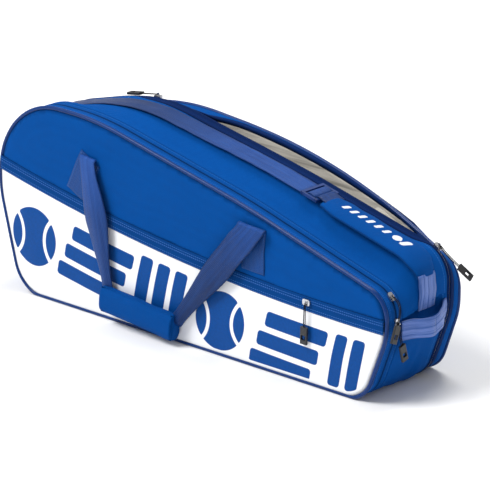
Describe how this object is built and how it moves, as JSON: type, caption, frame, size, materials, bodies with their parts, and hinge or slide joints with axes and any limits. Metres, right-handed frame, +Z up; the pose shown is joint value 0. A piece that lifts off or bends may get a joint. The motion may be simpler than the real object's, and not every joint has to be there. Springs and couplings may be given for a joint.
{
  "type": "racket tournament bag",
  "caption": "Long soft racket bag with a zipped front section, an open rear compartment, a zipped pocket, carry handles, a padded shoulder strap and a grab handle.",
  "frame": {"origin": "on the floor under the middle of the base", "axes": "+X along the bag towards the racket-handle end, +Y from the front panel to the back panel, +Z up"},
  "size_m": [0.785, 0.2385, 0.3155],
  "materials": {
    "navy_lip": "matt woven",
    "blue_fabric": "matt woven with a slight sheen",
    "white_coated": "satin coated",
    "lining_grey": "satin",
    "piping_violet": "satin",
    "webbing_violet": "satin webbing",
    "padded_blue": "padded woven",
    "board": "matt",
    "zip_coil": "matt",
    "black_plastic": "fine texture",
    "slider_metal": "cast and plated",
    "cord_black": "braided"
  },
  "bodies": {
    "core": {"base_gusset": "blue_fabric", "base_board": "board", "front_band_core": "blue_fabric", "front_zip_tape_core": "navy_lip", "mid_gusset_head": "blue_fabric", "mid_gusset_top": "blue_fabric", "mid_gusset_handle": "blue_fabric", "rear_zip_tape_core": "navy_lip", "divider": "lining_grey", "lining_front": "lining_grey", "strap_webbing": "webbing_violet", "strap_anchor": "webbing_violet", "shoulder_pad": "padded_blue", "strap_end_tab": "webbing_violet", "grab_handle_tabs": "webbing_violet"},
    "front_section": {"front_panel_upper": "blue_fabric", "pocket_front": "white_coated", "pocket_backing": "blue_fabric", "front_piping": "piping_violet", "front_band_panel": "blue_fabric", "front_zip_tape_panel": "navy_lip", "pocket_zip_tapes": "navy_lip", "pocket_zip_coil": "zip_coil", "front_handle_patches": "webbing_violet"},
    "rear_section": {"back_panel": "blue_fabric", "rear_piping": "piping_violet", "rear_gusset": "blue_fabric", "rear_zip_tape_panel": "navy_lip", "lining_back": "lining_grey", "rear_handle_patches": "webbing_violet"},
    "front_handle": {"handle_strap_left": "webbing_violet", "handle_strap_right": "webbing_violet", "handle_wrap": "padded_blue"},
    "front_grip_flap": {"wrap_flap": "padded_blue"},
    "rear_handle": {"rear_strap_left": "webbing_violet", "rear_strap_right": "webbing_violet", "rear_handle_grip": "padded_blue"},
    "strap_buckle": {"ladder_lock": "black_plastic"},
    "end_grab": {"grab_handle": "webbing_violet"},
    "pocket_slider": {"pocket_slider": "slider_metal"},
    "pocket_pull": {"pocket_pull_cord": "cord_black", "pocket_pull_grip": "black_plastic"},
    "front_slider_upper": {"front_slider_upper": "slider_metal"},
    "front_pull_upper": {"front_pull_upper_cord": "cord_black", "front_pull_upper_grip": "black_plastic"},
    "front_slider_lower": {"front_slider_lower": "slider_metal"},
    "front_pull_lower": {"front_pull_lower_cord": "cord_black", "front_pull_lower_grip": "black_plastic"},
    "rear_slider_handle": {"rear_slider_handle": "slider_metal"},
    "rear_pull_handle": {"rear_pull_handle_cord": "cord_black", "rear_pull_handle_grip": "black_plastic"},
    "rear_slider_head": {"rear_slider_head": "slider_metal"},
    "rear_pull_head": {"rear_pull_head_cord": "cord_black", "rear_pull_head_grip": "black_plastic"}
  },
  "joints": [
    {"name": "front_section_hinge", "type": "hinge", "parent": "core", "child": "front_section", "pos_m": [0, -0.087, 0], "axis": [1, 0, 0], "range_deg": [0, 20]},
    {"name": "rear_section_hinge", "type": "hinge", "parent": "core", "child": "rear_section", "pos_m": [0, 0.103, 0], "axis": [-1, 0, 0], "range_deg": [0, 20]},
    {"name": "front_handle_fold", "type": "hinge", "parent": "front_section", "child": "front_handle", "pos_m": [-0.179, -0.0942, 0.243], "axis": [-0.9944, 0, 0.106], "range_deg": [0, 165]},
    {"name": "rear_handle_fold", "type": "hinge", "parent": "rear_section", "child": "rear_handle", "pos_m": [-0.179, 0.1085, 0.243], "axis": [0.9944, 0, -0.106], "range_deg": [0, 165]},
    {"name": "grip_flap_hinge", "type": "hinge", "parent": "front_handle", "child": "front_grip_flap", "pos_m": [-0.073, -0.1125, 0.0151], "axis": [0.9962, 0, -0.0866], "range_deg": [0, 100]},
    {"name": "buckle_tilt", "type": "hinge", "parent": "core", "child": "strap_buckle", "pos_m": [0.1975, -0.0015, 0.2423], "axis": [0, 1, 0], "range_deg": [0, 50]},
    {"name": "end_grab_pivot", "type": "hinge", "parent": "core", "child": "end_grab", "pos_m": [0.381, -0.008, 0.109], "axis": [0, 1, 0], "range_deg": [-30, 30]},
    {"name": "pocket_zip_run", "type": "hinge", "parent": "front_section", "child": "pocket_slider", "pos_m": [0.345, -0.0884, 3.35], "axis": [0, 1, 0], "range_deg": [0, 9.4]},
    {"name": "pocket_pull_swing", "type": "hinge", "parent": "pocket_slider", "child": "pocket_pull", "pos_m": [0.238, -0.0937, 0.12377], "axis": [-1, 0, 0], "range_deg": [0, 110]},
    {"name": "front_zip_upper_run", "type": "hinge", "parent": "core", "child": "front_slider_upper", "pos_m": [0.334, -0.065, 0.12766], "axis": [0, -1, 0], "range_deg": [0, 30]},
    {"name": "front_pull_upper_swing", "type": "hinge", "parent": "front_slider_upper", "child": "front_pull_upper", "pos_m": [0.3697, -0.065, 0.15869], "axis": [0, -1, 0], "range_deg": [0, 100]},
    {"name": "front_zip_lower_run", "type": "hinge", "parent": "core", "child": "front_slider_lower", "pos_m": [0.276, -0.065, 0.12086], "axis": [0, 1, 0], "range_deg": [0, 20]},
    {"name": "front_pull_lower_swing", "type": "hinge", "parent": "front_slider_lower", "child": "front_pull_lower", "pos_m": [0.3813, -0.065, 0.12086], "axis": [0, -1, 0], "range_deg": [0, 100]},
    {"name": "rear_zip_handle_run", "type": "hinge", "parent": "core", "child": "rear_slider_handle", "pos_m": [0.33, 0.04815, 0.15354], "axis": [0, -1, 0], "range_deg": [-25, 16]},
    {"name": "rear_pull_handle_swing", "type": "hinge", "parent": "rear_slider_handle", "child": "rear_pull_handle", "pos_m": [0.3593, 0.04815, 0.20044], "axis": [0, -1, 0], "range_deg": [0, 90]},
    {"name": "rear_zip_head_run", "type": "hinge", "parent": "core", "child": "rear_slider_head", "pos_m": [-0.15488, 0.04815, -0.04168], "axis": [0, 1, 0], "range_deg": [-4, 6]},
    {"name": "rear_pull_head_swing", "type": "hinge", "parent": "rear_slider_head", "child": "rear_pull_head", "pos_m": [-0.17347, 0.04815, 0.31313], "axis": [0, 1, 0], "range_deg": [0, 80]}
  ]
}
